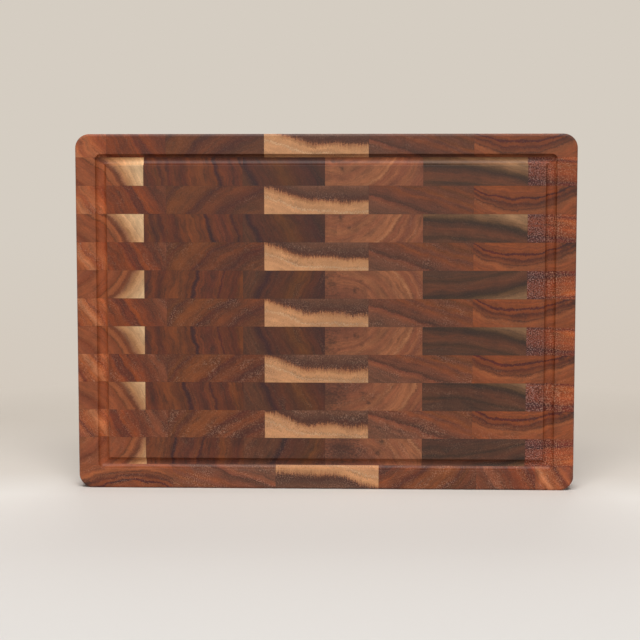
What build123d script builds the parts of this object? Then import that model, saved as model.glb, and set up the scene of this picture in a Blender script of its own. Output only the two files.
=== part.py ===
"""End-grain acacia butcher-block cutting board with a juice groove.

The board stands on one long edge: X runs along its length, Z up its height, and Y through
its thickness, with the working face towards -Y.  The origin is the middle of the edge that it
stands on.  The fibres of every block run along Y, so both faces show end grain.

Thirteen rows of six blocks are glued face to face.  The glued blank is worked as one piece:
its outline and its edges are rounded, and a juice groove is run round the working face.  Each
block carries its own share of that work.
"""
import os

from build123d import *

# The board as a whole
board_length = 420.0
board_height = 300.0
board_thickness = 38.0
corner_radius = 12.0
edge_round = 2.0

# The juice groove, run along a rectangle with a round-nosed cutter
groove_inset = 21.5
groove_depth = 4.0
cutter_radius = 4.75

# The rows, counted from the trimmed top row down to the trimmed bottom row
row_count = 13
top_row_height = 19.5
bottom_row_height = 20.0

# The first panel's staves from left to right; the streaked one takes what is left of the length
red_end_width = 26.5
dark_red_width = 50.0
brown_width = 82.5
sapwood_width = 87.5
arched_end_width = 86.0

# The second panel's staves from left to right; the greyish one takes what is left of the length
pale_corner_width = 57.5
dark_brown_width = 83.5
purple_width = 69.0
light_brown_width = 82.0
speckled_end_width = 41.0

# The bottom row is a strip of the first panel, turned end for end and slid to the left
turned_row_slide = 5.5

first_staves = ["red_end", "dark_red", "brown", "sapwood", "streaked", "arched_end"]
second_staves = ["pale_corner", "dark_brown", "purple", "light_brown", "greyish", "speckled_end"]

# The blocks of each of these narrow staves share one node, as separate solids
shared_nodes = {
    "red_end": "red_end_blocks",
    "dark_red": "dark_red_blocks",
    "pale_corner": "pale_corner_blocks",
    "speckled_end": "speckled_end_blocks",
}

working_face_y = -board_thickness / 2
full_row_height = (board_height - top_row_height - bottom_row_height) / (row_count - 2)


def glue_lines(first_four_widths, last_width):
    """Give the X of both ends of a panel and of the five glue lines between its staves."""
    lines = [-board_length / 2]
    for width in first_four_widths:
        lines.append(lines[-1] + width)
    return lines + [board_length / 2 - last_width, board_length / 2]


first_lines = glue_lines([red_end_width, dark_red_width, brown_width, sapwood_width], arched_end_width)
second_lines = glue_lines(
    [pale_corner_width, dark_brown_width, purple_width, light_brown_width], speckled_end_width
)
turned_inner_lines = [-line - turned_row_slide for line in reversed(first_lines[1:-1])]
turned_lines = [first_lines[0]] + turned_inner_lines + [first_lines[-1]]

# The glued blank, with its outline and its edges rounded
with BuildPart() as rounded_blank:
    with BuildSketch(Plane.XZ.offset(working_face_y)):
        with Locations((0, board_height / 2)):
            RectangleRounded(board_length, board_height, corner_radius)
    extrude(amount=board_thickness)
    fillet(rounded_blank.faces().filter_by(Axis.Y).edges(), radius=edge_round)

# The room that the cutter clears along its four runs.  Its round nose leaves the outer corners
# of the groove rounded and the inner ones sharp.
run_length = board_length - 2 * groove_inset
run_height = board_height - 2 * groove_inset
nose_centre_y = working_face_y + groove_depth - cutter_radius
cutter_plane = Plane(origin=(0, nose_centre_y, board_height / 2), x_dir=(1, 0, 0), z_dir=(0, -1, 0))
shank_length = groove_depth + cutter_radius
from_nose_centre = (Align.CENTER, Align.CENTER, Align.MIN)
with BuildPart(cutter_plane) as cutter_path:
    with GridLocations(run_length, run_height, 2, 2):
        Sphere(cutter_radius)
        Cylinder(cutter_radius, shank_length, align=from_nose_centre)
    with GridLocations(0, run_height, 1, 2):
        Cylinder(cutter_radius, run_length, rotation=(0, 90, 0))
        Box(run_length, 2 * cutter_radius, shank_length, align=from_nose_centre)
    with GridLocations(run_length, 0, 2, 1):
        Cylinder(cutter_radius, run_height, rotation=(90, 0, 0))
        Box(2 * cutter_radius, run_height, shank_length, align=from_nose_centre)

with BuildPart() as grooved_board:
    add(rounded_blank)
    add(cutter_path, mode=Mode.SUBTRACT)

# Where each block lies in the board: its left, right, bottom and top, listed by node
spans_of_node = {}
row_top = board_height
for row in range(1, row_count + 1):
    row_bottom = row_top - full_row_height
    if row == 1:
        row_bottom = row_top - top_row_height
    if row == row_count:
        row_bottom = 0.0
    if row % 2 == 0:
        staves, lines = second_staves, second_lines
    elif row < row_count:
        staves, lines = first_staves, first_lines
    else:
        staves, lines = first_staves[::-1], turned_lines
    for place, stave in enumerate(staves):
        node = shared_nodes.get(stave, f"row_{row:02d}_{stave}_block")
        span = (lines[place], lines[place + 1], row_bottom, row_top)
        spans_of_node.setdefault(node, []).append(span)
    row_top = row_bottom

# Each block is what the grooved board holds between its glue lines
os.makedirs("parts", exist_ok=True)
from_low_corner = (Align.MIN, Align.MIN, Align.MIN)
for node, spans in spans_of_node.items():
    with BuildPart() as block:
        for left, right, bottom, top in spans:
            with Locations((left, working_face_y, bottom)):
                Box(right - left, board_thickness, top - bottom, align=from_low_corner)
        add(grooved_board, mode=Mode.INTERSECT)
    block.part.label = node
    export_step(block.part, f"parts/{node}.step")
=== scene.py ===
"""Looks of an end-grain acacia cutting board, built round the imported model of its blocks."""

import logging
import math
from dataclasses import dataclass, field
from enum import Enum

import bmesh
import bpy
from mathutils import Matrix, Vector


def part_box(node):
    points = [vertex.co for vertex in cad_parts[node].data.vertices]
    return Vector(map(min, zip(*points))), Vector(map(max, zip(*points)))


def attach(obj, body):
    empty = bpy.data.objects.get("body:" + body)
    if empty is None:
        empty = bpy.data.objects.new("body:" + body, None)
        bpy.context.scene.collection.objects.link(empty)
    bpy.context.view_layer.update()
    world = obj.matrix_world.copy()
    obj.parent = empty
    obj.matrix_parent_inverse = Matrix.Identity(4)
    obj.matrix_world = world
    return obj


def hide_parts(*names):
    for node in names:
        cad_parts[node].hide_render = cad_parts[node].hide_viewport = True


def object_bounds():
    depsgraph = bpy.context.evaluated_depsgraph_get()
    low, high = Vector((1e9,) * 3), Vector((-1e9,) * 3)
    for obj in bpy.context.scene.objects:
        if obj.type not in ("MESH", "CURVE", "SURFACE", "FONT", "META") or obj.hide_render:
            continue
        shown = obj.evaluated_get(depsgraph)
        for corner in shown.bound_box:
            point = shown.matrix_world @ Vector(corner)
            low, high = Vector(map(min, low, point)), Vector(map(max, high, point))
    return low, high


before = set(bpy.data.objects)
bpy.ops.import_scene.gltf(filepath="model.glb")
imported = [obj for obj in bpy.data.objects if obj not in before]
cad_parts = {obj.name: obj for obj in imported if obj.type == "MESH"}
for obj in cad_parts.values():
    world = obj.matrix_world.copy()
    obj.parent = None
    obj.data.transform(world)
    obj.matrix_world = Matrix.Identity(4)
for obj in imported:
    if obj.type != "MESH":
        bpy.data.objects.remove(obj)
cad_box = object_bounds()

MM = 0.001
FLAT_TOLERANCE = 1e-7
WELD_DISTANCE = 1e-6
# Most of a noise lies between these two values.
NOISE_SPAN = (0.3, 0.7)
ROW_COUNT = 13
TURNED_OVER_ROWS = (6, 12)

Tree = bpy.types.NodeTree
Socket = bpy.types.NodeSocket
Edges = list[bmesh.types.BMEdge]
Span = tuple[float, float, float, float]

log = logging.getLogger("cutting_board")


def linear(hex_colour: str) -> tuple[float, float, float, float]:
    """Turn an sRGB hex colour into linear RGBA.

    Args:
        hex_colour: Six hex digits, with or without a leading #.

    Returns:
        The linear colour with an alpha of 1.
    """
    digits = hex_colour.lstrip("#")
    channels = [int(digits[i:i + 2], 16) / 255 for i in (0, 2, 4)]
    red, green, blue = [c / 12.92 if c <= 0.04045 else ((c + 0.055) / 1.055) ** 2.4 for c in channels]
    return (red, green, blue, 1.0)


def add_node(tree: Tree, kind: str, inputs: dict, **settings: object) -> bpy.types.Node:
    """Add one shader node with its settings, values and links.

    Args:
        tree: The node tree that takes the node.
        kind: The node's type, without its ShaderNode prefix.
        inputs: Input name or index to what it takes: a socket or a node's first output, which is
            linked, or a plain value.
        settings: Properties of the node, such as operation.

    Returns:
        The new node.
    """
    node = tree.nodes.new("ShaderNode" + kind)
    for name, value in settings.items():
        setattr(node, name, value)
    for key, value in inputs.items():
        if isinstance(value, bpy.types.Node):
            value = value.outputs[0]
        if isinstance(value, bpy.types.NodeSocket):
            tree.links.new(value, node.inputs[key])
        else:
            node.inputs[key].default_value = value
    return node


def seeing_ray(tree: Tree) -> Socket:
    """Tell the rays that show the background, straight, mirrored or through glass, from the rest.

    Args:
        tree: The node tree that takes the nodes.

    Returns:
        The socket, 1 for a ray that shows the background and 0 for one that only lights.
    """
    rays = add_node(tree, "LightPath", {}).outputs
    mirrored = add_node(tree, "Math", {0: rays["Is Camera Ray"], 1: rays["Is Glossy Ray"]}, operation="ADD")
    through = add_node(tree, "Math", {0: mirrored, 1: rays["Is Transmission Ray"]},
                       operation="ADD", use_clamp=True)
    return through.outputs[0]


class Turn(Enum):
    """How a strip was turned before it was glued into the board."""

    AS_CUT = "as cut"
    FACE_OVER = "turned over about its length"
    END_FOR_END = "turned end for end in its own plane"


@dataclass(frozen=True)
class PinKnot:
    """A small knot, in millimetres from the stave's middle, and its lean from slice to slice."""

    x: float
    y: float
    radius: float
    lean_x: float
    lean_y: float


@dataclass(frozen=True)
class Stave:
    """One glued stave of a panel: its growth rings as they show on its end grain.

    Places on the end grain are millimetres from the stave's middle.  Rings are described across
    themselves: a growth band lies where the distance across the rings, straightened by the bend,
    reaches its value.  The bend pairs a distance along the rings with how far they bow there, and a
    pith is the middle of rings that are round.  The rings move by the drift from one slice of the
    log to the next.  The slope makes each colour channel lighter at the right and darker at the
    left, and the speck lean makes the specks stronger at the left.  The stave is also drawn lighter
    (darker, where the value is negative) from the log's first slice to its last, in the board's
    lower rows: partly its own change in tone, partly painted light, the floor's bounce and sheen.
    """

    name: str
    across_deg: float
    bands: tuple[tuple[float, str], ...]
    bend: tuple[tuple[float, float], ...] = ((-45.0, 0.0), (45.0, 0.0))
    pith: tuple[float, float] | None = None
    drift: float = 0.0
    wobble: float = 1.2
    fringe: float = 0.5
    jitter: float = 0.6
    ring_contrast: float = 0.16
    pores: float = 0.35
    speck: float = 0.32
    speck_lean: float = 0.0
    slope: tuple[float, float, float] = (0.0, 0.0, 0.0)
    # How much lighter the log's last slice is drawn, in the lower rows: partly own tone, partly painted
    # floor bounce and sheen.
    lightening_and_bounce: float = 0.0
    pin_knots: tuple[PinKnot, ...] = ()
    seed: float = 0.0


FIRST_PANEL = (
    Stave(
        name="red_end", across_deg=35.0, drift=4.0, wobble=2.4, ring_contrast=0.24, pores=0.6, speck=0.45,
        seed=1.0,
        bands=((-42.0, "83442c"), (-36.0, "904f3a"), (-31.0, "9d593c"), (-28.0, "65352a"), (-25.5, "904e33"),
               (-19.0, "a05b3a"), (-15.5, "b77551"), (-12.0, "a5603f"), (-9.5, "965238"), (-3.0, "a76342"),
               (3.0, "9d5739"), (8.0, "874630"), (14.0, "9e5636"), (22.0, "8d4a32")),
    ),
    Stave(
        name="dark_red", across_deg=32.0, drift=-3.6, wobble=2.2, ring_contrast=0.27, pores=0.3, speck=0.42,
        lightening_and_bounce=0.15, seed=2.0,
        bands=((-18.0, "7d422b"), (-11.0, "723e2a"), (-4.0, "7a422d"), (-1.5, "88472f"), (0.5, "663728"),
               (3.0, "67392d"), (6.0, "65372a"), (8.0, "82452d"), (12.5, "7d432f"), (16.5, "6d3d2e"),
               (19.0, "663b2f"), (22.0, "693d2f"), (27.0, "724433"), (33.0, "7a4a38"), (36.0, "643c30"),
               (39.0, "6a4132"), (45.0, "794634")),
    ),
    Stave(
        name="brown", across_deg=128.0, drift=-2.4, wobble=2.6, ring_contrast=0.24, pores=0.15, speck=0.5,
        lightening_and_bounce=0.22, seed=3.0,
        bend=((-45.0, 9.0), (-20.0, 1.8), (0.0, 0.0), (20.0, 1.8), (45.0, 9.0)),
        bands=((-24.0, "6c4433"), (-18.0, "643f30"), (-12.0, "5c382e"), (-9.0, "51322a"), (-6.5, "5c382e"),
               (-1.0, "704230"), (3.5, "6a3f2f"), (7.0, "59362c"), (9.0, "52322a"), (11.5, "673d2c"),
               (15.5, "714430"), (23.5, "774730"), (28.5, "6a402e"), (32.0, "54342b"), (35.0, "623d2c"),
               (38.0, "5e3a2e")),
    ),
    Stave(
        name="sapwood", across_deg=90.0, drift=0.0, wobble=1.7, fringe=2.0, jitter=1.2, ring_contrast=0.16,
        pores=0.55, speck=0.42, slope=(-0.05, -0.05, -0.05), seed=4.0,
        bend=((-44.0, -11.5), (-34.0, -9.0), (-24.0, -5.5), (-14.0, -1.8), (-4.0, -0.2), (6.0, -0.3),
              (16.0, -0.3), (26.0, 0.5), (44.0, 0.7)),
        bands=((-12.0, "c59068"), (-9.8, "bf8c65"), (-9.3, "d9b48e"), (-8.8, "bb8a64"), (-5.0, "c69066"),
               (-2.2, "b17d57"), (-0.8, "946146"), (0.8, "5c3d32"), (3.0, "523730"), (5.5, "5c4137"),
               (9.0, "654538"), (13.0, "745041"), (20.0, "6a4636")),
    ),
    Stave(
        name="streaked", across_deg=72.0, drift=1.1, wobble=1.9, ring_contrast=0.22, pores=0.3, speck=0.46,
        lightening_and_bounce=0.2, seed=5.0,
        bands=((-24.0, "664639"), (-16.0, "6e493b"), (-12.5, "7e4d3a"), (-10.8, "784839"), (-9.4, "52372f"),
               (-7.5, "603f34"), (-3.0, "6e4436"), (1.0, "7a4732"), (4.0, "6a4236"), (7.0, "7b4830"),
               (11.0, "6b4335"), (14.0, "643f2e"), (16.0, "754531"), (22.0, "654134")),
    ),
    Stave(
        name="arched_end", across_deg=90.0, drift=0.9, wobble=2.3, fringe=0.6, ring_contrast=0.24, pores=0.1,
        speck=0.3, lightening_and_bounce=0.09, seed=6.0,
        pin_knots=(PinKnot(31.0, 7.5, 2.6, 0.4, 0.2), PinKnot(39.5, 10.5, 3.6, 0.2, 0.1)),
        bend=((-43.0, -9.0), (-33.0, -4.0), (-23.0, -1.0), (-8.0, 0.0), (7.0, -0.8), (17.0, -3.0),
              (27.0, -5.5), (37.0, -9.5), (45.0, -13.0)),
        bands=((-20.0, "854c34"), (-14.5, "894f37"), (-10.8, "8e553a"), (-9.2, "774734"), (-8.4, "59392e"),
               (-7.6, "754633"), (-5.8, "673d2f"), (-4.2, "57342b"), (-2.8, "764330"), (-1.1, "78442f"),
               (-0.3, "532e29"), (0.7, "502e28"), (1.5, "77442f"), (4.2, "854b33"), (5.2, "774432"),
               (6.2, "874d34"), (12.0, "82492f"), (15.0, "673e2f"), (20.0, "724331")),
    ),
)

SECOND_PANEL = (
    Stave(
        name="pale_corner", across_deg=42.0, drift=2.3, wobble=1.6, fringe=0.7, jitter=0.8,
        ring_contrast=0.2, pores=0.1, speck=0.2, lightening_and_bounce=-0.04, seed=7.0,
        bend=((-40.0, 10.0), (-20.0, 3.2), (0.0, 0.0), (20.0, 3.2), (40.0, 10.0)),
        bands=((-38.0, "8f553a"), (-28.0, "874d38"), (-24.0, "723f2e"), (-21.0, "8d5239"), (-9.0, "8b4f37"),
               (-5.8, "844a33"), (-4.6, "683f2e"), (-3.4, "92573b"), (0.0, "92563a"), (1.4, "6d3f2f"),
               (3.2, "724532"), (5.0, "906148"), (7.5, "a67652"), (13.0, "c6986f"), (21.0, "d9b288")),
    ),
    Stave(
        name="dark_brown", across_deg=13.0, drift=-6.3, wobble=2.6, fringe=0.3, ring_contrast=0.33,
        pores=0.0, speck=0.16, seed=8.0,
        bands=((-44.0, "603a2e"), (-36.0, "593528"), (-30.0, "6d412e"), (-27.5, "503229"), (-24.0, "673e2f"),
               (-20.5, "4e3129"), (-17.0, "683d2e"), (-8.0, "56342a"), (-5.0, "673d2e"), (8.0, "6f4330"),
               (13.0, "603b2e"), (16.8, "6a3f2e"), (18.8, "402923"), (20.4, "402923"), (22.4, "643c2f"),
               (33.0, "5b372f"), (39.0, "673e2f"), (40.5, "422c26"), (42.5, "603a2e"), (54.0, "55342a"),
               (58.0, "6e422e"), (72.0, "52332a"), (80.0, "6e4330")),
    ),
    Stave(
        name="purple", across_deg=27.0, drift=3.8, wobble=2.2, fringe=0.5, ring_contrast=0.28, pores=0.05,
        speck=0.2, lightening_and_bounce=0.06, seed=9.0,
        bands=((-56.0, "674233"), (-44.0, "573a30"), (-33.0, "5b3d31"), (-29.0, "4d342e"), (-27.4, "3e2b27"),
               (-25.4, "3e2b27"), (-23.5, "52352e"), (-10.0, "55372d"), (-2.0, "5f3e2d"), (8.0, "53352c"),
               (14.0, "4f342e"), (19.0, "442f2a"), (23.0, "46312a"), (27.0, "50352d"), (36.0, "4d332e")),
    ),
    Stave(
        name="light_brown", across_deg=0.0, pith=(-31.0, 36.0), drift=4.3, wobble=2.2, fringe=0.5,
        ring_contrast=0.24, pores=0.2, speck=0.34, slope=(0.05, 0.05, 0.05), seed=10.0,
        pin_knots=(PinKnot(-34.5, 9.6, 2.0, 6.5, -1.75), PinKnot(-27.0, 2.0, 1.5, 5.7, -1.8),
                   PinKnot(-67.0, -3.0, 10.0, 7.0, 0.0)),
        bands=((16.0, "704739"), (22.0, "81513e"), (27.0, "8e5a42"), (31.0, "83523e"), (35.0, "915e44"),
               (40.0, "86543f"), (46.0, "935f45"), (52.3, "905c42"), (53.8, "a06c4d"), (55.2, "8d5941"),
               (58.0, "7f4d3b"), (61.0, "8d5941"), (65.0, "7a4b3b"), (71.0, "87563f"), (79.0, "7c4d3c")),
    ),
    Stave(
        name="greyish", across_deg=90.0, drift=2.1, wobble=1.3, fringe=0.3, ring_contrast=0.26, pores=0.15,
        speck=0.22, lightening_and_bounce=-0.1, seed=11.0,
        bend=((-43.0, -0.5), (-23.0, 0.0), (-3.0, 1.2), (12.0, 4.0), (27.0, 7.0), (43.0, 11.5)),
        bands=((-22.0, "553b32"), (-16.0, "4d3931"), (-12.0, "583d32"), (-9.3, "43342d"), (-7.3, "583d32"),
               (-2.5, "5f3e32"), (0.5, "513930"), (3.4, "3e312b"), (5.4, "43352d"), (7.2, "5d4636"),
               (10.0, "735540"), (16.0, "8f6d51")),
    ),
    Stave(
        name="speckled_end", across_deg=87.0, drift=0.6, wobble=1.2, fringe=0.4, ring_contrast=0.24,
        pores=1.9, speck=0.74, speck_lean=0.45, slope=(0.27, 0.33, 0.18), lightening_and_bounce=0.12, seed=12.0,
        bands=((-16.0, "763d2d"), (-11.0, "663329"), (-8.8, "552e25"), (-7.0, "7b3f2b"), (-3.5, "894530"),
               (0.5, "924b31"), (2.0, "7d3f2a"), (3.5, "964f32"), (6.5, "994f32"), (9.0, "613228"),
               (11.0, "904a32")),
    ),
)


@dataclass(frozen=True)
class Pattern:
    """One pattern of grains in the wood, each as long in every direction as it is told.

    One step of the seed moves the pattern by its shift, in its own grains.
    """

    size_mm: tuple[float, float, float]
    detail: float
    roughness: float = 0.6
    strength: float = 1.0
    own_seed: float = 0.0
    shift: tuple[float, float, float] = (3.7, 5.3, 1.9)
    held: bool = True

    def lay(self, tree: Tree, place: Socket, seed: float, reach: float) -> Socket:
        """Lay the pattern, swinging about 0.

        Args:
            tree: The material's node tree.
            place: The place that the pattern is read at.
            seed: The stave's seed.
            reach: How far it swings either side of 0, before its strength.

        Returns:
            The pattern, which may swing past its reach if it isn't held.
        """
        reach *= self.strength
        moved = tuple((seed + self.own_seed) * step for step in self.shift)
        scaled = add_node(tree, "Mapping", {"Vector": place, "Location": moved,
                                            "Scale": tuple(1 / size for size in self.size_mm)})
        noise = add_node(tree, "TexNoise", {"Vector": scaled, "Scale": 1.0, "Detail": self.detail,
                                            "Roughness": self.roughness})
        if not self.held:
            return add_node(tree, "Math", {0: noise, 1: 4 * reach, 2: -2 * reach},
                            operation="MULTIPLY_ADD").outputs[0]
        return add_node(tree, "MapRange", {"Value": noise, "From Min": NOISE_SPAN[0],
                                           "From Max": NOISE_SPAN[1], "To Min": -reach,
                                           "To Max": reach}).outputs[0]


@dataclass(frozen=True)
class OiledEndGrain:
    """Acacia end grain, sawn, sanded to 240 grit and oiled.

    The growth bands show as dark and light arcs, the vessels as fine specks that run through the
    thickness as streaks on the sides, and the oil as a satin skin over all of it.
    """

    ior: float = 1.47
    specular: float = 0.5
    roughness: float = 0.55
    roughness_spread: float = 0.10
    speck_swing: float = 0.3
    relief_strength: float = 0.12
    relief_depth: float = 0.2 * MM
    sheen: float = 0.0236
    # Pale specks: dust in the pores, and partly painted glints where the pores catch the light.
    filler_and_glint_hex: str = "a8856f"
    # Two slices of a log lie as far apart as the board is thick, and the saw cut besides.
    slice_mm: float = 42.0
    log_slices: int = 6
    bend_reach_mm: float = 60.0
    pith_reach_mm: float = 55.0
    lean_reach_mm: float = 12.0
    fade_share: float = 1 / 3
    # The patches of vessels grow from the first slice to the last, so that the lower rows carry more pale
    # specks, partly painted sheen; the patches fade in at their edge.
    growth: tuple[float, float] = (-0.35, 0.45)
    patch_edge: tuple[float, float] = (0.45, 1.25)
    thin_share: float = 0.25
    knot_core: float = 0.3
    knot_rim: float = 1.8
    knot_dark: float = 0.45
    glue_mm: tuple[float, float] = (0.05, 0.35)
    glue_dark: float = 0.80
    # Painted light in the groove: how much lighter and warmer the wood is drawn at the groove's bottom.
    groove_painted_light: tuple[float, float, float] = (1.20, 1.09, 0.96)
    wander: Pattern = Pattern(size_mm=(20.0, 14.0, 95.0), detail=4.0, roughness=0.55,
                              shift=(7.3, 3.1, 1.0), held=False)
    rays: Pattern = Pattern(size_mm=(1.2, 9.0, 80.0), detail=3.0, roughness=0.65,
                            shift=(5.0, 0.0, 0.0), held=False)
    fibres: Pattern = Pattern(size_mm=(1.0, 1.0, 40.0), detail=2.0, roughness=0.5,
                              shift=(0.0, 9.0, 0.0), held=False)
    yearly: Pattern = Pattern(size_mm=(2.6, 40.0, 140.0), detail=2.0, strength=0.9)
    fine: Pattern = Pattern(size_mm=(1.1, 12.0, 90.0), detail=2.0, strength=0.8, own_seed=0.5)
    mottle: Pattern = Pattern(size_mm=(8.0, 13.0, 55.0), detail=3.0, strength=0.9, own_seed=0.8)
    # A vessel is 0.2 mm wide; its speck is drawn wider, so that it is seen at arm's length.
    specks: Pattern = Pattern(size_mm=(0.95, 0.95, 30.0), detail=1.0)
    patches: Pattern = Pattern(size_mm=(6.5, 26.0, 60.0), detail=2.0, own_seed=0.3)
    knot_edge: Pattern = Pattern(size_mm=(2.5, 1.6, 40.0), detail=2.0, strength=0.9)

    def material(self, stave: Stave, size_mm: tuple[float, float]) -> bpy.types.Material:
        """Make the stave's wood.

        Args:
            stave: The stave that is dressed.
            size_mm: The stave's width and the height of a full strip.

        Returns:
            The material, which reads the grain and groove attributes of the blocks.
        """
        made = bpy.data.materials.new(f"oiled_acacia_{stave.name}")
        made.use_nodes = True
        tree = made.node_tree
        tree.nodes.clear()
        grain = add_node(tree, "Attribute", {}, attribute_name="grain").outputs["Vector"]
        across, along, depth = self.ring_axes(tree, stave, grain)
        place = add_node(tree, "CombineXYZ", {0: across, 1: along, 2: depth}).outputs[0]
        colour = self.band_colours(tree, stave, across)
        colour, fine = self.fine_rings(tree, stave, colour, place)
        colour, pores = self.vessels(tree, stave, colour, grain, place)
        colour = self.knots(tree, stave, colour, grain)
        # Tint across the stave, and painted bounce light and sheen on the lower rows.
        colour = self.tint_and_paint_bounce(tree, stave, colour, grain, size_mm[0])
        colour = self.glue_film(tree, colour, grain, size_mm)
        # Painted light: the groove's wood is drawn lighter and warmer.
        colour = self.paint_groove_light(tree, colour)
        rough = add_node(tree, "MapRange", {
            "Value": pores, "From Min": -self.speck_swing, "From Max": self.speck_swing,
            "To Min": self.roughness - self.roughness_spread / 2,
            "To Max": self.roughness + self.roughness_spread / 2})
        relief = add_node(tree, "Math", {0: fine, 1: pores}, operation="ADD")
        bump = add_node(tree, "Bump", {"Height": relief, "Strength": self.relief_strength,
                                       "Distance": self.relief_depth})
        skin = add_node(tree, "BsdfPrincipled", {
            "Base Color": colour, "Roughness": rough, "IOR": self.ior,
            "Specular IOR Level": self.specular, "Normal": bump})
        add_node(tree, "OutputMaterial", {"Surface": skin})
        return made

    def under_oil(self, seen_hex: str) -> tuple[float, float, float, float]:
        """Give the wood's linear colour under the oil, never quite black, from the colour as seen."""
        darkest = 0.002
        return tuple(max(channel - self.sheen, darkest) for channel in linear(seen_hex)[:3]) + (1.0,)

    def from_pith(self, tree: Tree, pith: tuple[float, float], grain: Socket) -> tuple[Socket, Socket]:
        """Measure round rings from their pith.

        Args:
            tree: The material's node tree.
            pith: The middle of the rings, in millimetres from the stave's middle.
            grain: The grain place.

        Returns:
            The sockets of the distance from the pith and of the distance round it.
        """
        flat = add_node(tree, "VectorMath", {0: grain, 1: (1.0, 1.0, 0.0)}, operation="MULTIPLY")
        spoke = add_node(tree, "VectorMath", {0: flat, 1: pith + (0.0,)},
                         operation="SUBTRACT").outputs[0]
        radius = add_node(tree, "VectorMath", {0: spoke}, operation="LENGTH").outputs["Value"]
        ends = add_node(tree, "SeparateXYZ", {0: spoke}).outputs
        swept = add_node(tree, "Math", {0: ends["X"], 1: ends["Y"]}, operation="ARCTAN2").outputs[0]
        around = add_node(tree, "Math", {0: swept, 1: self.pith_reach_mm}, operation="MULTIPLY")
        return radius, around.outputs[0]

    def bow_of_rings(self, tree: Tree, stave: Stave, along: Socket) -> Socket:
        """Find how far the rings bow at a place along them.

        Args:
            tree: The material's node tree.
            stave: The stave that is dressed.
            along: The distance along the rings, in millimetres.

        Returns:
            The socket of the bow, in millimetres.
        """
        reach = self.bend_reach_mm
        span = 2 * reach
        share = add_node(tree, "MapRange", {"Value": along, "From Min": reach, "From Max": -reach})
        curve = add_node(tree, "FloatCurve", {"Value": share})
        points = curve.mapping.curves[0].points
        for point, (place, bow) in zip((points[0], points[-1]), (stave.bend[0], stave.bend[-1])):
            point.location = (0.5 + place / span, 0.5 + bow / span)
        for place, bow in stave.bend[1:-1]:
            points.new(0.5 + place / span, 0.5 + bow / span)
        curve.mapping.update()
        return add_node(tree, "Math", {0: curve, 1: span, 2: -span / 2},
                        operation="MULTIPLY_ADD").outputs[0]

    def ring_axes(self, tree: Tree, stave: Stave, grain: Socket) -> tuple[Socket, Socket, Socket]:
        """Find the distance across and along the rings, straightened and with its drift.

        Args:
            tree: The material's node tree.
            stave: The stave that is dressed.
            grain: The grain place, in millimetres from the stave's middle, with its depth in the log.

        Returns:
            The sockets of the distance across the rings, along them, and into the log.
        """
        turned = add_node(tree, "VectorRotate", {"Vector": grain, "Angle": -math.radians(stave.across_deg)},
                          rotation_type="Z_AXIS")
        parts = add_node(tree, "SeparateXYZ", {0: turned}).outputs
        outward, along, depth = parts["X"], parts["Y"], parts["Z"]
        if stave.pith:
            outward, along = self.from_pith(tree, stave.pith, grain)
        across = add_node(tree, "Math", {0: depth, 1: -stave.drift / self.slice_mm, 2: outward},
                          operation="MULTIPLY_ADD").outputs[0]
        for offset in (self.bow_of_rings(tree, stave, along),
                       self.wander.lay(tree, grain, stave.seed, stave.wobble)):
            across = add_node(tree, "Math", {0: across, 1: offset}, operation="ADD").outputs[0]
        by_ray = add_node(tree, "CombineXYZ", {0: along, 1: across, 2: depth}).outputs[0]
        for offset in (self.rays.lay(tree, by_ray, stave.seed, stave.fringe),
                       self.fibres.lay(tree, grain, stave.seed, stave.jitter)):
            across = add_node(tree, "Math", {0: across, 1: offset}, operation="ADD").outputs[0]
        return across, along, depth

    def band_colours(self, tree: Tree, stave: Stave, across: Socket) -> Socket:
        """Colour the growth bands.

        Args:
            tree: The material's node tree.
            stave: The stave that is dressed.
            across: The distance across the rings, in millimetres.

        Returns:
            The colour socket.
        """
        low, high = stave.bands[0][0], stave.bands[-1][0]
        share = add_node(tree, "MapRange", {"Value": across, "From Min": low, "From Max": high})
        ramp = add_node(tree, "ValToRGB", {0: share})
        stops = ramp.color_ramp.elements
        for stop, (place, colour) in zip((stops[0], stops[-1]), (stave.bands[0], stave.bands[-1])):
            stop.position = (place - low) / (high - low)
            stop.color = self.under_oil(colour)
        for place, colour in stave.bands[1:-1]:
            stops.new((place - low) / (high - low)).color = self.under_oil(colour)
        return ramp.outputs[0]

    def fine_rings(self, tree: Tree, stave: Stave, colour: Socket, place: Socket) -> tuple[Socket, Socket]:
        """Lay the yearly rings, the fine rings inside them and a soft mottle over the bands.

        Args:
            tree: The material's node tree.
            stave: The stave that is dressed.
            colour: The colour so far.
            place: The distances across the rings, along them and into the log.

        Returns:
            The new colour and the pattern of the fine rings.
        """
        yearly, fine, mottle = (pattern.lay(tree, place, stave.seed, stave.ring_contrast)
                                for pattern in (self.yearly, self.fine, self.mottle))
        gain = add_node(tree, "Math", {0: yearly, 1: 1.0}, operation="ADD").outputs[0]
        for pattern in (fine, mottle):
            gain = add_node(tree, "Math", {0: gain, 1: pattern}, operation="ADD").outputs[0]
        shaded = add_node(tree, "VectorMath", {0: colour, "Scale": gain}, operation="SCALE")
        return shaded.outputs[0], fine

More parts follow.
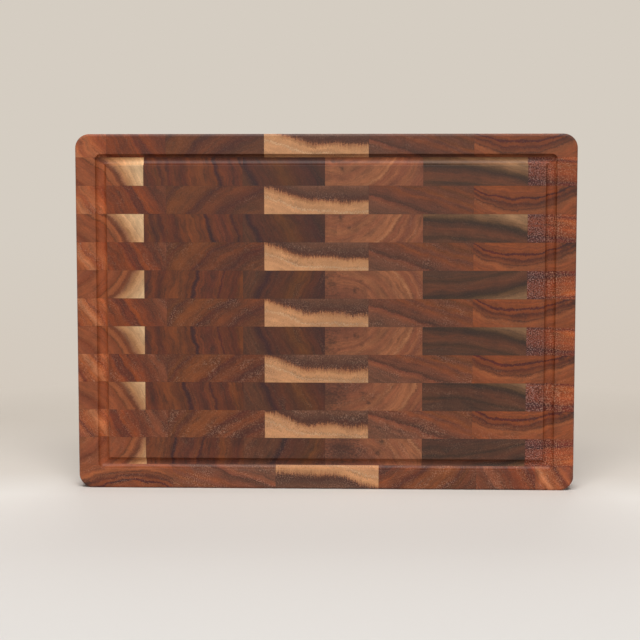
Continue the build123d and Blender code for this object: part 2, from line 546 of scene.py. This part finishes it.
    def vessels(self, tree: Tree, stave: Stave, colour: Socket, grain: Socket,
                place: Socket) -> tuple[Socket, Socket]:
        """Strew the open vessels, as pale and dark specks that gather in patches along the rings.  The pale
        specks are partly dust in the pores and partly painted glints, where the pores catch the light.

        Args:
            tree: The material's node tree.
            stave: The stave that is dressed.
            colour: The colour so far.
            grain: The grain place.
            place: The distances across the rings, along them and into the log.

        Returns:
            The new colour and the pattern of the specks.
        """
        parts = add_node(tree, "SeparateXYZ", {0: grain}).outputs
        # More pale specks toward the log's last slice, in the lower rows: partly painted sheen.
        growth = add_node(tree, "MapRange", {
            "Value": parts["Z"], "From Min": 0.0, "From Max": self.log_slices * self.slice_mm,
            "To Min": self.growth[0], "To Max": self.growth[1]})
        patches = self.patches.lay(tree, place, stave.seed, 1.0)
        spread = add_node(tree, "Math", {0: patches, 1: growth}, operation="ADD")
        gather = add_node(tree, "MapRange", {
            "Value": spread, "From Min": self.patch_edge[0] - stave.pores,
            "From Max": self.patch_edge[1] - stave.pores,
            "To Min": self.thin_share * stave.speck, "To Max": stave.speck})
        lean = add_node(tree, "MapRange", {
            "Value": parts["X"], "From Min": -self.lean_reach_mm, "From Max": self.lean_reach_mm,
            "To Min": 1 + stave.speck_lean, "To Max": 1 - stave.speck_lean})
        amount = self.specks.lay(tree, grain, stave.seed, 1.0)
        for share in (gather, lean):
            amount = add_node(tree, "Math", {0: amount, 1: share}, operation="MULTIPLY").outputs[0]
        hollow = add_node(tree, "Math", {0: amount, 1: 0.0}, operation="MINIMUM")
        gain = add_node(tree, "Math", {0: hollow, 1: 1.0}, operation="ADD")
        hollowed = add_node(tree, "VectorMath", {0: colour, "Scale": gain}, operation="SCALE")
        # The pale specks: pore dust, and partly painted glints.
        filled_and_glinting = add_node(tree, "Mix", {0: amount, 6: hollowed, 7: linear(self.filler_and_glint_hex)},
                          data_type="RGBA")
        return filled_and_glinting.outputs[2], amount

    def knots(self, tree: Tree, stave: Stave, colour: Socket, grain: Socket) -> Socket:
        """Darken the pin knots, which slant through the log.

        Args:
            tree: The material's node tree.
            stave: The stave that is dressed.
            colour: The colour so far.
            grain: The grain place.

        Returns:
            The new colour.
        """
        for knot in stave.pin_knots:
            depth = add_node(tree, "SeparateXYZ", {0: grain}).outputs["Z"]
            lean = (knot.lean_x / self.slice_mm, knot.lean_y / self.slice_mm, 1.0)
            axis = add_node(tree, "VectorMath", {0: lean, "Scale": depth}, operation="SCALE")
            away = grain
            for middle in (axis, (knot.x, knot.y, 0.0)):
                away = add_node(tree, "VectorMath", {0: away, 1: middle}, operation="SUBTRACT").outputs[0]
            radius = add_node(tree, "VectorMath", {0: away}, operation="LENGTH").outputs["Value"]
            ragged = self.knot_edge.lay(tree, grain, stave.seed + knot.x, knot.radius)
            edge = add_node(tree, "Math", {0: radius, 1: ragged}, operation="ADD")
            gain = add_node(tree, "MapRange", {
                "Value": edge, "From Min": self.knot_core * knot.radius,
                "From Max": self.knot_rim * knot.radius, "To Min": self.knot_dark, "To Max": 1.0})
            colour = add_node(tree, "VectorMath", {0: colour, "Scale": gain},
                              operation="SCALE").outputs[0]
        return colour

    def tint_and_paint_bounce(self, tree: Tree, stave: Stave, colour: Socket, grain: Socket, width_mm: float) -> Socket:
        """Make the stave lighter toward one side, and toward the end of the log that lies in the board's
        lower rows; the latter is partly the stave's own tone and partly painted light, the floor's bounce
        and sheen.

        Args:
            tree: The material's node tree.
            stave: The stave that is dressed.
            colour: The colour so far.
            grain: The grain place.
            width_mm: The stave's width.

        Returns:
            The new colour.
        """
        parts = add_node(tree, "SeparateXYZ", {0: grain}).outputs
        reach = width_mm * self.fade_share
        share = add_node(tree, "MapRange", {"Value": parts["X"], "From Min": -reach, "From Max": reach},
                         interpolation_type="SMOOTHSTEP")
        darker = tuple(1 - slope for slope in stave.slope) + (1.0,)
        lighter = tuple(1 + slope for slope in stave.slope) + (1.0,)
        tint = add_node(tree, "Mix", {0: share, 6: darker, 7: lighter}, data_type="RGBA")
        tinted = add_node(tree, "VectorMath", {0: colour, 1: tint.outputs[2]}, operation="MULTIPLY")
        # Partly painted light: the lower rows drawn lighter for the floor's bounce and sheen, besides the
        # stave's own tone.
        gain = add_node(tree, "MapRange", {
            "Value": parts["Z"], "From Min": 0.0, "From Max": self.log_slices * self.slice_mm,
            "To Min": 1 - stave.lightening_and_bounce, "To Max": 1 + stave.lightening_and_bounce})
        faded = add_node(tree, "VectorMath", {0: tinted, "Scale": gain},
                         operation="SCALE")
        return faded.outputs[0]

    def glue_film(self, tree: Tree, colour: Socket, grain: Socket, size_mm: tuple[float, float]) -> Socket:
        """Draw the dark hairline of glue round the stave.

        Args:
            tree: The material's node tree.
            colour: The colour so far.
            grain: The grain place.
            size_mm: The stave's width and the height of a full strip.

        Returns:
            The new colour.
        """
        folded = add_node(tree, "VectorMath", {0: grain}, operation="ABSOLUTE")
        parts = add_node(tree, "SeparateXYZ", {0: folded}).outputs
        to_side = add_node(tree, "Math", {0: size_mm[0] / 2, 1: parts["X"]}, operation="SUBTRACT")
        to_edge = add_node(tree, "Math", {0: size_mm[1] / 2, 1: parts["Y"]}, operation="SUBTRACT")
        nearest = add_node(tree, "Math", {0: to_side, 1: to_edge}, operation="MINIMUM")
        line = add_node(tree, "MapRange", {
            "Value": nearest, "From Min": self.glue_mm[0], "From Max": self.glue_mm[1],
            "To Min": self.glue_dark, "To Max": 1.0})
        lined = add_node(tree, "VectorMath", {0: colour, "Scale": line}, operation="SCALE")
        return lined.outputs[0]

    def paint_groove_light(self, tree: Tree, colour: Socket) -> Socket:
        """Paint light into the juice groove: its wood is drawn lighter and warmer with its depth, painted
        warm light that stands in for the light the groove's walls throw on each other.

        Args:
            tree: The material's node tree.
            colour: The colour so far.

        Returns:
            The new colour.
        """
        depth = add_node(tree, "Attribute", {}, attribute_name="groove").outputs["Fac"]
        gain = add_node(tree, "Mix", {0: depth, 6: (1.0, 1.0, 1.0, 1.0), 7: self.groove_painted_light + (1.0,)},
                        data_type="RGBA")
        warmed = add_node(tree, "VectorMath", {0: colour, 1: gain.outputs[2]}, operation="MULTIPLY")
        return warmed.outputs[0]


@dataclass
class GroovedBlank:
    """The glued board as it leaves the router: its outline, its rounded edges and its groove."""

    low: Vector
    high: Vector
    corner_radius: float = 12.0 * MM
    edge_round: float = 2.0 * MM
    groove_inset: float = 21.5 * MM
    groove_depth: float = 4.0 * MM
    cutter_radius: float = 4.75 * MM
    lip_ease: float = 0.35 * MM
    # A narrow flat strip beside each curve keeps the flats' shading flat.
    hold: float = 0.3 * MM
    corner_steps: int = 24
    edge_steps: int = 6
    lip_steps: int = 4
    groove_steps: int = 12

    def __post_init__(self) -> None:
        """Find the board's middle and its half sizes."""
        self.middle = (self.low + self.high) / 2
        self.half = (self.high - self.low) / 2

    def edge_section(self) -> list[tuple[float, float]]:
        """Give the section of the outer edge, from the back face to the working face.

        Returns:
            Points of inset from the outline and of place through the thickness.
        """
        radius, back = self.edge_round, self.half.y
        quarter = [math.pi / 2 * step / self.edge_steps for step in range(self.edge_steps + 1)]
        side = [(radius - radius * math.sin(a), back - radius + radius * math.cos(a)) for a in quarter]
        side = [(radius + self.hold, back)] + side + [(0.0, back - radius - self.hold)]
        return side + [(inset, -through) for inset, through in reversed(side)]

    def groove_section(self) -> list[tuple[float, float]]:
        """Give half of the groove's section, from the face beside its lip to its bottom.

        Returns:
            Points of distance from the groove's middle and of depth below the face.
        """
        ease, cutter = self.lip_ease, self.cutter_radius
        above = cutter - self.groove_depth
        lip = math.sqrt((cutter + ease) ** 2 - (ease + above) ** 2)
        lean = math.atan2(lip, ease + above)
        points = [(lip + self.hold, 0.0)]
        for step in range(self.lip_steps + 1):
            angle = lean * step / self.lip_steps
            points.append((lip - ease * math.sin(angle), ease - ease * math.cos(angle)))
        for step in range(1, self.groove_steps + 1):
            angle = lean * (1 - step / self.groove_steps)
            points.append((cutter * math.sin(angle), cutter * math.cos(angle) - above))
        return points

    def lay_chain(self, made: bmesh.types.BMesh, points: list[Vector]) -> Edges:
        """Lay a chain of edges through some points, measured from the board's middle."""
        verts = [made.verts.new(point) for point in points]
        return [made.edges.new(pair) for pair in zip(verts, verts[1:])]

    def run_to_middle(self, made: bmesh.types.BMesh, edges: Edges, keep: Vector) -> None:
        """Run a chain of edges straight to one of the board's middle planes.

        Args:
            made: The mesh.
            edges: The chain.
            keep: The share of each coordinate that is kept, 0 along the run and 1 across it.
        """
        run = bmesh.ops.extrude_edge_only(made, edges=edges)["geom"]
        ends = [item for item in run if isinstance(item, bmesh.types.BMVert)]
        bmesh.ops.scale(made, vec=keep, verts=ends)

    def sweep_round_corner(self, made: bmesh.types.BMesh, edges: Edges, inset: float) -> None:
        """Sweep a chain round the corner of one quarter of the board and along its two sides.

        Args:
            made: The mesh.
            edges: The chain, laid across the side at the height of the turning axis.
            inset: How far the turning axis lies inside the outline.
        """
        self.run_to_middle(made, edges, Vector((1, 1, 0)))
        axis_at = Vector((self.half.x - inset, 0, self.half.z - inset))
        turned = bmesh.ops.spin(made, geom=edges, cent=axis_at, axis=(0, -1, 0), angle=math.pi / 2,
                                steps=self.corner_steps, use_duplicate=False)["geom_last"]
        last = [item for item in turned if isinstance(item, bmesh.types.BMEdge)]
        self.run_to_middle(made, last, Vector((0, 1, 1)))

    def build(self) -> bmesh.types.BMesh:
        """Build the whole board as one closed mesh, in place.

        Returns:
            The mesh, which the caller frees.
        """
        made = bmesh.new()
        half, face = self.half, -self.half.y
        edge = [Vector((half.x - inset, through, half.z - self.corner_radius))
                for inset, through in self.edge_section()]
        self.sweep_round_corner(made, self.lay_chain(made, edge), self.corner_radius)
        section = self.groove_section()
        mid_x, mid_z = half.x - self.groove_inset, half.z - self.groove_inset
        outer = [Vector((mid_x + aside, face + depth, mid_z)) for aside, depth in section]
        self.sweep_round_corner(made, self.lay_chain(made, outer), self.groove_inset)
        inner = [Vector((mid_x - aside, face + depth, mid_z - aside)) for aside, depth in reversed(section)]
        mitre = self.lay_chain(made, inner)
        self.run_to_middle(made, mitre, Vector((1, 1, 0)))
        self.run_to_middle(made, mitre, Vector((0, 1, 1)))
        for axis in ("X", "Z"):
            quarter = made.verts[:] + made.edges[:] + made.faces[:]
            bmesh.ops.mirror(made, geom=quarter, axis=axis, merge_dist=FLAT_TOLERANCE)
        bmesh.ops.remove_doubles(made, verts=made.verts[:], dist=WELD_DISTANCE)
        self.close_flats(made)
        bmesh.ops.recalc_face_normals(made, faces=made.faces[:])
        bmesh.ops.translate(made, vec=self.middle, verts=made.verts[:])
        return made

    def close_flats(self, made: bmesh.types.BMesh) -> None:
        """Close the back, the margin outside the groove and the field inside it.

        Args:
            made: The mesh with its open borders.
        """
        border = [e for e in made.edges if e.is_boundary]
        on_back = [e for e in border if e.verts[0].co.y > 0]
        on_face = [e for e in border if e.verts[0].co.y < 0]
        field_edges = [e for e in on_face
                       if max(abs(v.co.x) for v in e.verts) < self.half.x - self.groove_inset
                       and max(abs(v.co.z) for v in e.verts) < self.half.z - self.groove_inset]
        margin = [e for e in on_face if e not in field_edges]
        bmesh.ops.contextual_create(made, geom=on_back)
        bmesh.ops.contextual_create(made, geom=field_edges)
        bmesh.ops.bridge_loops(made, edges=margin)

    def groove_share(self, place: Vector) -> float:
        """Tell how deep in the groove a point lies: 0 on the face, 1 at the groove's bottom.

        Args:
            place: The point, in the board's frame.

        Returns:
            The share of the groove's depth, or 0 anywhere else on the board.
        """
        from_middle = place - self.middle
        inset = min(self.half.x - abs(from_middle.x), self.half.z - abs(from_middle.z))
        depth = place.y - self.low.y
        if inset < self.groove_inset / 2 or depth > self.groove_depth + self.hold:
            return 0.0
        return depth / self.groove_depth


@dataclass
class Strip:
    """One row of the board: a strip cut across a panel, turned and glued in."""

    number: int
    staves: tuple[Stave, ...]
    lines: list[float]
    bottom: float
    top: float
    slice_number: int
    turn: Turn
    full_height: float

    def blocks(self) -> list[tuple[Stave, Span]]:
        """Give each block's stave and its left, right, bottom and top."""
        order = self.staves[::-1] if self.turn is Turn.END_FOR_END else self.staves
        return [(stave, (left, right, self.bottom, self.top))
                for stave, left, right in zip(order, self.lines, self.lines[1:])]


@dataclass
class BlockBoard:
    """The board's blocks: cut from the finished blank along its glue lines, then dressed."""

    blank: GroovedBlank
    wood: OiledEndGrain
    strips: list[Strip]
    saw_kerf: float = 4.0 * MM
    crease_deg: float = 35.0
    materials: dict[str, bpy.types.Material] = field(default_factory=dict)

    def cut_out(self, whole: bmesh.types.BMesh, span: Span) -> bmesh.types.BMesh:
        """Cut one block out of the board.

        Args:
            whole: The board's mesh, which is left as it is.
            span: The block's left, right, bottom and top.

        Returns:
            The block's closed mesh.
        """
        block = whole.copy()
        left, right, bottom, top = span
        low, high = self.blank.low, self.blank.high
        cuts = ((Vector((left, 0, 0)), Vector((-1, 0, 0)), left - low.x),
                (Vector((right, 0, 0)), Vector((1, 0, 0)), high.x - right),
                (Vector((0, 0, bottom)), Vector((0, 0, -1)), bottom - low.z),
                (Vector((0, 0, top)), Vector((0, 0, 1)), high.z - top))
        for place, outward, room in cuts:
            if room < FLAT_TOLERANCE:
                continue
            geometry = block.verts[:] + block.edges[:] + block.faces[:]
            cut = bmesh.ops.bisect_plane(block, geom=geometry, dist=FLAT_TOLERANCE, plane_co=place,
                                         plane_no=outward, clear_outer=True)["geom_cut"]
            rim = [item for item in cut if isinstance(item, bmesh.types.BMEdge)]
            bmesh.ops.contextual_create(block, geom=rim)
        bmesh.ops.recalc_face_normals(block, faces=block.faces[:])
        crease = math.radians(self.crease_deg)
        for face in block.faces:
            face.smooth = True
        for edge in block.edges:
            edge.smooth = edge.calc_face_angle(math.pi) < crease
        return block

    def mark_grain(self, mesh: bpy.types.Mesh, strip: Strip, span: Span) -> None:
        """Write where each point of a block lay in its stave, and how deep in the groove it lies.

        The grain place is in millimetres from the stave's middle, with its depth in the log.

        Args:
            mesh: The block's mesh.
            strip: The strip that the block belongs to.
            span: The block's left, right, bottom and top.
        """
        left, right, bottom, top = span
        mesh.attributes.new("grain", "FLOAT_VECTOR", "POINT")
        mesh.attributes.new("groove", "FLOAT", "POINT")
        grain, groove = mesh.attributes["grain"], mesh.attributes["groove"]
        thickness = self.blank.high.y - self.blank.low.y
        pitch = thickness + self.saw_kerf
        full = strip.full_height
        for vertex, place, sunk in zip(mesh.vertices, grain.data, groove.data):
            x, y, z = vertex.co
            across = x - (left + right) / 2
            # A trimmed strip lost wood at the board's outside, so it is measured from its inner side.
            up = z - bottom - full / 2 if strip.bottom > self.blank.low.z else z - top + full / 2
            depth = y - self.blank.low.y
            if strip.turn is Turn.FACE_OVER:
                up, depth = -up, thickness - depth
            if strip.turn is Turn.END_FOR_END:
                across, up = -across, -up
            log_depth = strip.slice_number * pitch + depth
            place.vector = Vector((across, up, log_depth)) / MM
            sunk.value = self.blank.groove_share(vertex.co)

    def build(self) -> int:
        """Build, place and dress every block.

        Returns:
            How many blocks were made.
        """
        whole = self.blank.build()
        count = 0
        for strip in self.strips:
            for stave, span in strip.blocks():
                name = f"row_{strip.number:02d}_{stave.name}"
                mesh = bpy.data.meshes.new(name)
                block = self.cut_out(whole, span)
                block.to_mesh(mesh)
                block.free()
                self.mark_grain(mesh, strip, span)
                piece = bpy.data.objects.new(name, mesh)
                bpy.context.scene.collection.objects.link(piece)
                if stave.name not in self.materials:
                    size_mm = ((span[1] - span[0]) / MM, strip.full_height / MM)
                    self.materials[stave.name] = self.wood.material(stave, size_mm)
                mesh.materials.append(self.materials[stave.name])
                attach(piece, "root")
                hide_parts(node_of(strip.number, stave.name))
                log.info("%s: %d faces, %s", name, len(mesh.polygons), strip.turn.value)
                count += 1
        whole.free()
        return count


def node_of(row: int, stave_name: str) -> str:
    """Name the CAD node that holds a block: its own, or the one that its stave's blocks share."""
    shared = f"{stave_name}_blocks"
    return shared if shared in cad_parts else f"row_{row:02d}_{stave_name}_block"


def read_strips() -> list[Strip]:
    """Read the rows and their glue lines from the frame.

    Returns:
        The strips, from the top row down.
    """
    low, high = cad_box
    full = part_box(node_of(3, "brown"))
    strips = []
    for row in range(1, ROW_COUNT + 1):
        second = row % 2 == 0
        staves = SECOND_PANEL if second else FIRST_PANEL
        own = [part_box(node_of(row, stave.name)) for stave in staves
               if node_of(row, stave.name).endswith("_block")]
        turn = Turn.FACE_OVER if row in TURNED_OVER_ROWS else Turn.AS_CUT
        if second:
            inner = [box[0].x for box in own] + [own[-1][1].x]
        elif row < ROW_COUNT:
            # The dark red blocks share a node: these lie at its left, the last row's one at its right.
            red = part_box(node_of(row, "dark_red"))
            inner = [red[0].x] + [box[0].x for box in own]
        else:
            turn = Turn.END_FOR_END
            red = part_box(node_of(row, "dark_red"))
            inner = [box[1].x for box in reversed(own)] + [red[1].x]
        strips.append(Strip(number=row, staves=staves, lines=[low.x] + inner + [high.x],
                            bottom=own[0][0].z, top=own[0][1].z, slice_number=(row - 1) // 2,
                            turn=turn, full_height=full[1].z - full[0].z))
    return strips


@dataclass(frozen=True)
class StudioPaper:
    """Matt studio paper, rolled out as a floor, that fades into the backdrop's colour."""

    # The paper's colour by its distance behind the board's middle.
    sweep: tuple[tuple[float, str], ...] = ((-0.60, "d1ceca"), (-0.24, "d8d2cc"), (-0.05, "e1dbd4"),
                                            (0.05, "d6cdc3"), (0.35, "cec4b8"))
    near_bounce: float = 1.1
    far_bounce: float = 0.3
    bounce_reach: float = 0.26
    wall_hex: str = "d5cdc2"
    foot_hex: str = "d3c9bd"
    radius: float = 0.80
    fade_from: float = 0.50
    fade_to: float = 0.76
    rim_steps: int = 96
    roughness: float = 0.9
    specular: float = 0.2

    def sheet_colour(self, tree: Tree, behind: Socket, seen: Socket) -> Socket:
        """Colour the paper.

        Args:
            tree: The paper's node tree.
            behind: The distance behind the board's middle.
            seen: 1 for a ray that shows the background.

        Returns:
            The colour socket.
        """
        first, last = self.sweep[0][0], self.sweep[-1][0]
        toward = add_node(tree, "MapRange", {"Value": behind, "From Min": first, "From Max": last})
        ramp = add_node(tree, "ValToRGB", {0: toward})
        stops = ramp.color_ramp.elements
        stops[0].color, stops[-1].color = linear(self.sweep[0][1]), linear(self.sweep[-1][1])
        for where, colour in self.sweep[1:-1]:
            stops.new((where - first) / (last - first)).color = linear(colour)
        # The paper is seen evenly lit; only the paper by the board throws its light back on it.
        off_board = add_node(tree, "Math", {0: behind}, operation="ABSOLUTE")
        bounce = add_node(tree, "MapRange", {"Value": off_board, "From Max": self.bounce_reach,
                                             "To Min": self.near_bounce, "To Max": self.far_bounce})
        thrown = add_node(tree, "MapRange", {"Value": seen, "To Min": bounce, "To Max": 1.0})
        tint = add_node(tree, "VectorMath", {0: ramp, "Scale": thrown},
                        operation="SCALE")
        return tint.outputs[0]

    def material(self, room_strength: float) -> bpy.types.Material:
        """Make the paper.

        Args:
            room_strength: How brightly the room shines on the board.

        Returns:
            The material.
        """
        paper = bpy.data.materials.new("studio_paper")
        paper.use_nodes = True
        tree = paper.node_tree
        tree.nodes.clear()
        place = add_node(tree, "TexCoord", {}).outputs["Object"]
        behind = add_node(tree, "SeparateXYZ", {0: place}).outputs["Y"]
        seen = seeing_ray(tree)
        sheet = add_node(tree, "BsdfPrincipled", {
            "Base Color": self.sheet_colour(tree, behind, seen), "Roughness": self.roughness,
            "Specular IOR Level": self.specular})
        strength = add_node(tree, "MapRange", {"Value": seen, "To Min": room_strength, "To Max": 1.0})
        glow = add_node(tree, "Emission", {"Color": linear(self.foot_hex), "Strength": strength})
        away = add_node(tree, "VectorMath", {0: place}, operation="LENGTH")
        fade = add_node(tree, "MapRange", {"Value": away.outputs["Value"], "From Min": self.fade_from,
                                           "From Max": self.fade_to}, interpolation_type="SMOOTHSTEP")
        blend = add_node(tree, "MixShader", {0: fade, 1: sheet, 2: glow})
        add_node(tree, "OutputMaterial", {"Surface": blend})
        return paper

    def build(self, room_strength: float) -> None:
        """Build the round floor and its paper.

        Args:
            room_strength: How brightly the room shines on the board.
        """
        mesh = bpy.data.meshes.new("paper_floor")
        made = bmesh.new()
        bmesh.ops.create_circle(made, cap_ends=True, segments=self.rim_steps, radius=self.radius)
        made.to_mesh(mesh)
        made.free()
        floor = bpy.data.objects.new("paper_floor", mesh)
        bpy.context.scene.collection.objects.link(floor)
        mesh.materials.append(self.material(room_strength))
        log.info("paper_floor: radius %.2f m", self.radius)


@dataclass(frozen=True)
class Softbox:
    """One soft lamp, hung at a place from the board's middle."""

    name: str
    place: tuple[float, float, float]
    size: tuple[float, float]
    watts: float

    def hang(self, middle: Vector) -> None:
        """Hang the lamp and turn it to the board.

        Args:
            middle: The board's middle.
        """
        data = bpy.data.lights.new(self.name, "AREA")
        data.shape = "RECTANGLE"
        data.size, data.size_y = self.size
        data.energy = self.watts
        lamp = bpy.data.objects.new(self.name, data)
        lamp.location = middle + Vector(self.place)
        lamp.visible_camera = False
        lamp.rotation_euler = (middle - lamp.location).to_track_quat("-Z", "Y").to_euler()
        bpy.context.scene.collection.objects.link(lamp)


@dataclass(frozen=True)
class SoftStudio:
    """Plain soft light: a large lamp high in front, weak ones above, behind and beside, a pale room."""

    room_strength: float = 0.12
    lamps: tuple[Softbox, ...] = (
        Softbox(name="front_softbox", place=(0.0, -1.45, 1.67), size=(1.5, 1.2), watts=45.2),
        Softbox(name="top_softbox", place=(0.0, -0.2, 1.3), size=(1.1, 0.8), watts=3.6),
        Softbox(name="rear_softbox", place=(0.0, 0.9, 0.9), size=(1.0, 0.8), watts=6.5),
        Softbox(name="left_softbox", place=(-0.85, -0.45, 0.12), size=(0.42, 0.5), watts=0.7),
        Softbox(name="right_softbox", place=(0.85, -0.45, 0.12), size=(0.42, 0.5), watts=0.7),
    )
    # Between these slopes of the view the backdrop's foot turns into the wall.
    foot_fade: tuple[float, float] = (-0.125, -0.03)

    def build(self, middle: Vector, wall_hex: str, foot_hex: str) -> None:
        """Light the board.

        Args:
            middle: The board's middle.
            wall_hex: The backdrop's colour, which is seen behind the board.
            foot_hex: The backdrop's colour at its foot, where it meets the paper.
        """
        for lamp in self.lamps:
            lamp.hang(middle)
            log.info("%s: %.1f W", lamp.name, lamp.watts)
        world = bpy.data.worlds.new("pale_room")
        bpy.context.scene.world = world
        world.use_nodes = True
        tree = world.node_tree
        tree.nodes.clear()
        room = add_node(tree, "Background", {"Color": (1.0, 1.0, 1.0, 1.0), "Strength": self.room_strength})
        gaze = add_node(tree, "SeparateXYZ", {0: add_node(tree, "TexCoord", {}).outputs["Generated"]})
        rise = add_node(tree, "MapRange", {"Value": gaze.outputs["Z"], "From Min": self.foot_fade[0],
                                           "From Max": self.foot_fade[1]})
        tint = add_node(tree, "Mix", {0: rise, 6: linear(foot_hex), 7: linear(wall_hex)},
                        data_type="RGBA")
        wall = add_node(tree, "Background", {"Color": tint.outputs[2], "Strength": 1.0})
        blend = add_node(tree, "MixShader", {0: seeing_ray(tree), 1: room, 2: wall})
        add_node(tree, "OutputWorld", {"Surface": blend})


@dataclass(frozen=True)
class Camera:
    """The camera, as it looks at the board from the front and a little from above."""

    place: tuple[float, float, float] = (0.0386, -1.289, 0.2528)
    aim: tuple[float, float, float] = (-0.0042, -0.019, 0.1442)
    lens_mm: float = 85.2
    sensor_mm: float = 36.0

    def build(self) -> None:
        """Place the camera and make it the scene's."""
        data = bpy.data.cameras.new("board_camera")
        data.lens = self.lens_mm
        data.sensor_width = self.sensor_mm
        camera = bpy.data.objects.new("board_camera", data)
        camera.location = self.place
        camera.rotation_euler = (Vector(self.aim) - Vector(self.place)).to_track_quat("-Z", "Y").to_euler()
        bpy.context.scene.collection.objects.link(camera)
        bpy.context.scene.camera = camera


def main() -> None:
    """Build the camera, the board and its studio."""
    low, high = cad_box
    Camera().build()
    board = BlockBoard(blank=GroovedBlank(low=low, high=high), wood=OiledEndGrain(), strips=read_strips())
    log.info("blocks: %d", board.build())
    paper = StudioPaper()
    studio = SoftStudio()
    paper.build(studio.room_strength)
    studio.build((low + high) / 2, paper.wall_hex, paper.foot_hex)
    bpy.context.scene.view_settings.view_transform = "Standard"


if __name__ == "__main__":
    logging.basicConfig(level=logging.INFO)
    main()
